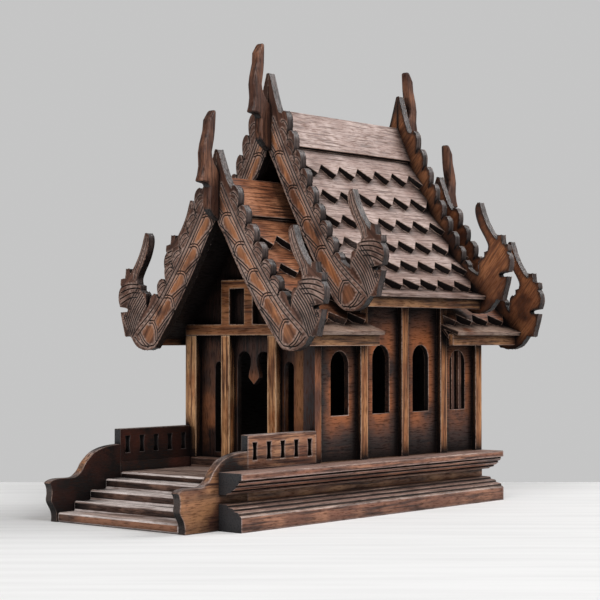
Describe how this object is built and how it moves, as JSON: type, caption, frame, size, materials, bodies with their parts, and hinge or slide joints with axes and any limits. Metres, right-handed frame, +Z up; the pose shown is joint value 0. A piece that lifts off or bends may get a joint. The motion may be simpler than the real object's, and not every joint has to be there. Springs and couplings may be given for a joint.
{
  "type": "spirit house",
  "caption": "Carved dark-stained wooden spirit house with tiered gable roofs, zigzag roof planks, naga finials, arched windows and a stepped base, for a shelf or altar.",
  "frame": {"origin": "on the ground, under the middle of the whole outline", "axes": "+Z up, the stairs and doorway face -Y, +X is to the right of a person who faces the doorway"},
  "size_m": [0.2544, 0.4708, 0.405],
  "materials": {
    "base_wood": "dark stain, satin, worn paler on the edges",
    "wall_wood": "dark stain with orange-brown wear, satin",
    "roof_wood": "dark stain, semi-gloss, fine grain",
    "carved_wood": "dark stain, satin, carved lines and worn panels"
  },
  "bodies": {
    "root": {"back_eave_beams": "wall_wood", "back_roof_left": "roof_wood", "back_roof_right": "roof_wood", "back_wall": "wall_wood", "base_back_board": "base_wood", "cornice_moulding_left": "base_wood", "cornice_moulding_right": "base_wood", "front_eave_beams": "wall_wood", "front_gable_frame": "wall_wood", "front_posts": "wall_wood", "front_roof_left": "roof_wood", "front_roof_right": "roof_wood", "front_wall": "wall_wood", "hall_gable_back": "wall_wood", "hall_gable_front": "wall_wood", "low_back_chofa": "carved_wood", "low_back_gable_board_left": "carved_wood", "low_back_gable_board_right": "carved_wood", "low_front_chofa": "carved_wood", "low_front_gable_board_left": "carved_wood", "low_front_gable_board_right": "carved_wood", "main_back_chofa": "carved_wood", "main_back_gable_board_left": "carved_wood", "main_back_gable_board_right": "carved_wood", "main_eave_beams": "wall_wood", "main_front_chofa": "carved_wood", "main_front_gable_board_left": "carved_wood", "main_front_gable_board_right": "carved_wood", "main_roof_left": "roof_wood", "main_roof_right": "roof_wood", "platform_board": "base_wood", "plinth_moulding_left": "base_wood", "plinth_moulding_right": "base_wood", "railing_left": "base_wood", "railing_right": "base_wood", "side_posts_left": "wall_wood", "side_posts_right": "wall_wood", "side_wall_left": "wall_wood", "side_wall_right": "wall_wood", "stair_cheek_left": "base_wood", "stair_cheek_right": "base_wood", "stair_steps": "base_wood", "waist_board_left": "base_wood", "waist_board_right": "base_wood", "window_bars": "wall_wood"}
  },
  "joints": []
}
